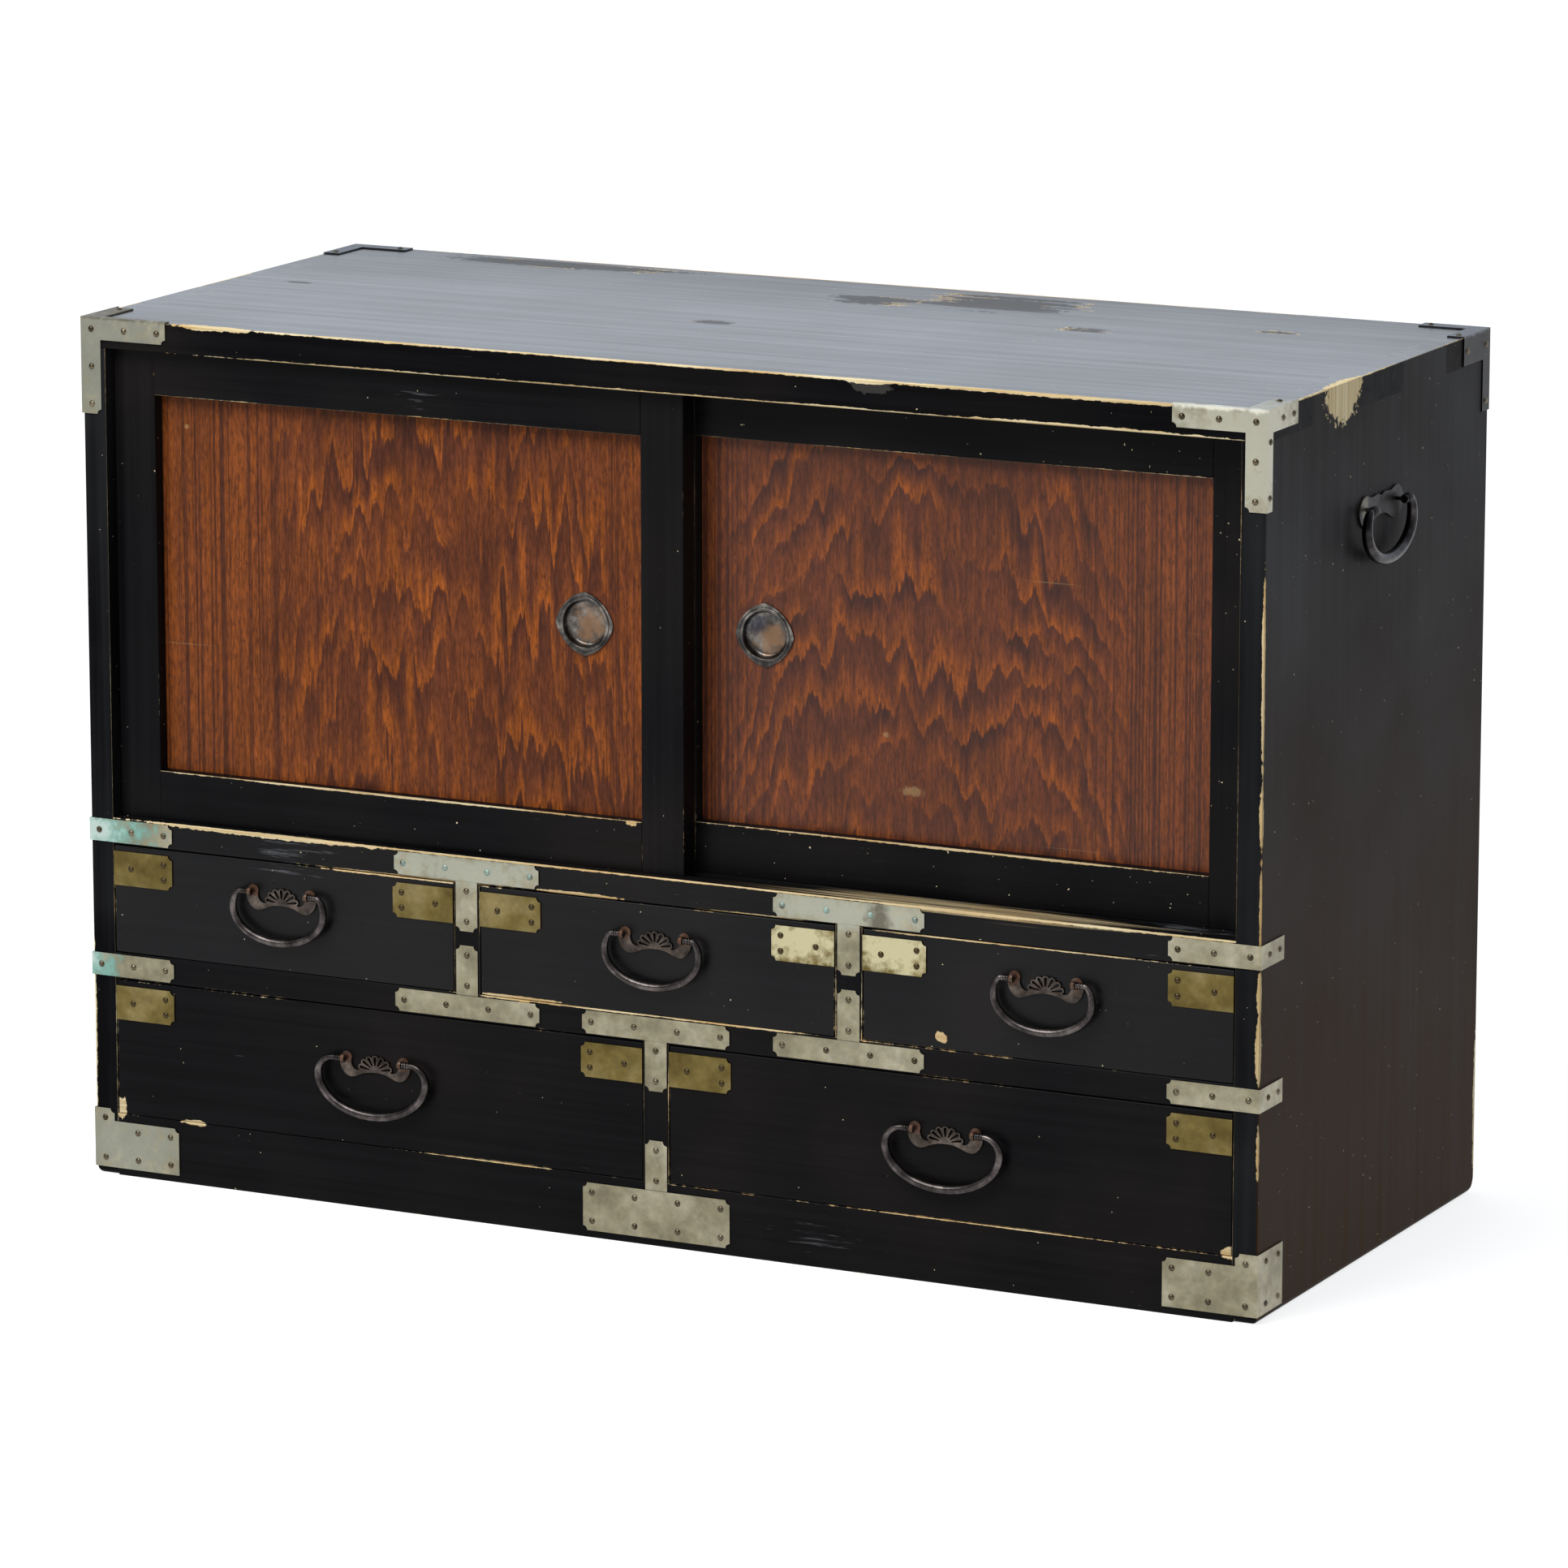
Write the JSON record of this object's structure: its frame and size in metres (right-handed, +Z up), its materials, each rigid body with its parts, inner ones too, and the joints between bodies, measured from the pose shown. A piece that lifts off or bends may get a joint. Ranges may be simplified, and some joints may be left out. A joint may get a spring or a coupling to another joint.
{
  "type": "tansu chest",
  "caption": "Low black-lacquered tansu chest: sliding panelled doors over drawers, nailed metal corner fittings and swinging iron handles.",
  "frame": {"origin": "middle of the whole part's box, at the floor", "axes": "+X to the right of someone facing the doors, +Y to the back, +Z up"},
  "size_m": [0.9334, 0.4048, 0.6263],
  "materials": {
    "black_lacquer": "worn semi-gloss black lacquer on softwood",
    "bare_wood": "plain unfinished softwood",
    "panel_wood": "red-brown wiped lacquer over open grain",
    "nickel_silver": "aged sheet, tarnished",
    "brass": "aged sheet, tarnished",
    "iron": "forged, hand-worn",
    "blackened_iron": "lacquered black",
    "dark_bronze": "dark patina"
  },
  "bodies": {
    "carcass": {"top_board": "black_lacquer", "left_side_board": "black_lacquer", "right_side_board": "black_lacquer", "base_rail": "black_lacquer", "door_sill": "black_lacquer", "middle_rail": "black_lacquer", "upper_divider_left": "black_lacquer", "upper_divider_right": "black_lacquer", "lower_divider": "black_lacquer", "back_board": "bare_wood", "bottom_board": "bare_wood", "rear_base_rail": "bare_wood", "cabinet_floor": "bare_wood", "drawer_shelf": "bare_wood", "front_top_corner_plates": "nickel_silver", "base_corner_plates": "nickel_silver", "end_straps": "nickel_silver", "divider_straps": "nickel_silver", "carcass_nails": "nickel_silver", "rear_top_corner_plates": "blackened_iron", "side_handle_plates": "iron"},
    "left_door": {"left_door_left_stile": "black_lacquer", "left_door_right_stile": "black_lacquer", "left_door_top_rail": "black_lacquer", "left_door_bottom_rail": "black_lacquer", "left_door_panel": "panel_wood", "left_door_finger_pull": "dark_bronze"},
    "right_door": {"right_door_left_stile": "black_lacquer", "right_door_right_stile": "black_lacquer", "right_door_top_rail": "black_lacquer", "right_door_bottom_rail": "black_lacquer", "right_door_panel": "panel_wood", "right_door_finger_pull": "dark_bronze"},
    "small_left_drawer": {"small_left_drawer_front": "black_lacquer", "small_left_drawer_box": "bare_wood", "small_left_corner_plates": "brass", "small_left_handle_plate": "iron"},
    "small_middle_drawer": {"small_middle_drawer_front": "black_lacquer", "small_middle_drawer_box": "bare_wood", "small_middle_corner_plates": "brass", "small_middle_handle_plate": "iron"},
    "small_right_drawer": {"small_right_drawer_front": "black_lacquer", "small_right_drawer_box": "bare_wood", "small_right_corner_plates": "brass", "small_right_handle_plate": "iron"},
    "large_left_drawer": {"large_left_drawer_front": "black_lacquer", "large_left_drawer_box": "bare_wood", "large_left_corner_plates": "brass", "large_left_handle_plate": "iron"},
    "large_right_drawer": {"large_right_drawer_front": "black_lacquer", "large_right_drawer_box": "bare_wood", "large_right_corner_plates": "brass", "large_right_handle_plate": "iron"},
    "small_left_bail": {"small_left_bail": "iron"},
    "small_middle_bail": {"small_middle_bail": "iron"},
    "small_right_bail": {"small_right_bail": "iron"},
    "large_left_bail": {"large_left_bail": "iron"},
    "large_right_bail": {"large_right_bail": "iron"},
    "left_side_bail": {"left_side_bail": "iron"},
    "right_side_bail": {"right_side_bail": "iron"}
  },
  "joints": [
    {"name": "left_door_slide", "type": "slide", "parent": "carcass", "child": "left_door", "axis": [1, 0, 0], "range_m": [0, 0.4195]},
    {"name": "right_door_slide", "type": "slide", "parent": "carcass", "child": "right_door", "axis": [1, 0, 0], "range_m": [-0.4195, 0]},
    {"name": "small_left_drawer_slide", "type": "slide", "parent": "carcass", "child": "small_left_drawer", "axis": [0, -1, 0], "range_m": [0, 0.3]},
    {"name": "small_left_bail_swing", "type": "hinge", "parent": "small_left_drawer", "child": "small_left_bail", "pos_m": [-0.29767, -0.19912, 0.22295], "axis": [-1, 0, 0], "range_deg": [0, 175]},
    {"name": "small_middle_drawer_slide", "type": "slide", "parent": "carcass", "child": "small_middle_drawer", "axis": [0, -1, 0], "range_m": [0, 0.3]},
    {"name": "small_middle_bail_swing", "type": "hinge", "parent": "small_middle_drawer", "child": "small_middle_bail", "pos_m": [0, -0.19912, 0.22295], "axis": [-1, 0, 0], "range_deg": [0, 175]},
    {"name": "small_right_drawer_slide", "type": "slide", "parent": "carcass", "child": "small_right_drawer", "axis": [0, -1, 0], "range_m": [0, 0.3]},
    {"name": "small_right_bail_swing", "type": "hinge", "parent": "small_right_drawer", "child": "small_right_bail", "pos_m": [0.29767, -0.19912, 0.22295], "axis": [-1, 0, 0], "range_deg": [0, 175]},
    {"name": "large_left_drawer_slide", "type": "slide", "parent": "carcass", "child": "large_left_drawer", "axis": [0, -1, 0], "range_m": [0, 0.3]},
    {"name": "large_left_bail_swing", "type": "hinge", "parent": "large_left_drawer", "child": "large_left_bail", "pos_m": [-0.22312, -0.19912, 0.1094], "axis": [-1, 0, 0], "range_deg": [0, 175]},
    {"name": "large_right_drawer_slide", "type": "slide", "parent": "carcass", "child": "large_right_drawer", "axis": [0, -1, 0], "range_m": [0, 0.3]},
    {"name": "large_right_bail_swing", "type": "hinge", "parent": "large_right_drawer", "child": "large_right_bail", "pos_m": [0.22312, -0.19912, 0.1094], "axis": [-1, 0, 0], "range_deg": [0, 175]},
    {"name": "left_side_bail_swing", "type": "hinge", "parent": "carcass", "child": "left_side_bail", "pos_m": [-0.4625, 0.00438, 0.531], "axis": [0, 1, 0], "range_deg": [0, 175]},
    {"name": "right_side_bail_swing", "type": "hinge", "parent": "carcass", "child": "right_side_bail", "pos_m": [0.4625, 0.00438, 0.531], "axis": [0, -1, 0], "range_deg": [0, 175]}
  ]
}
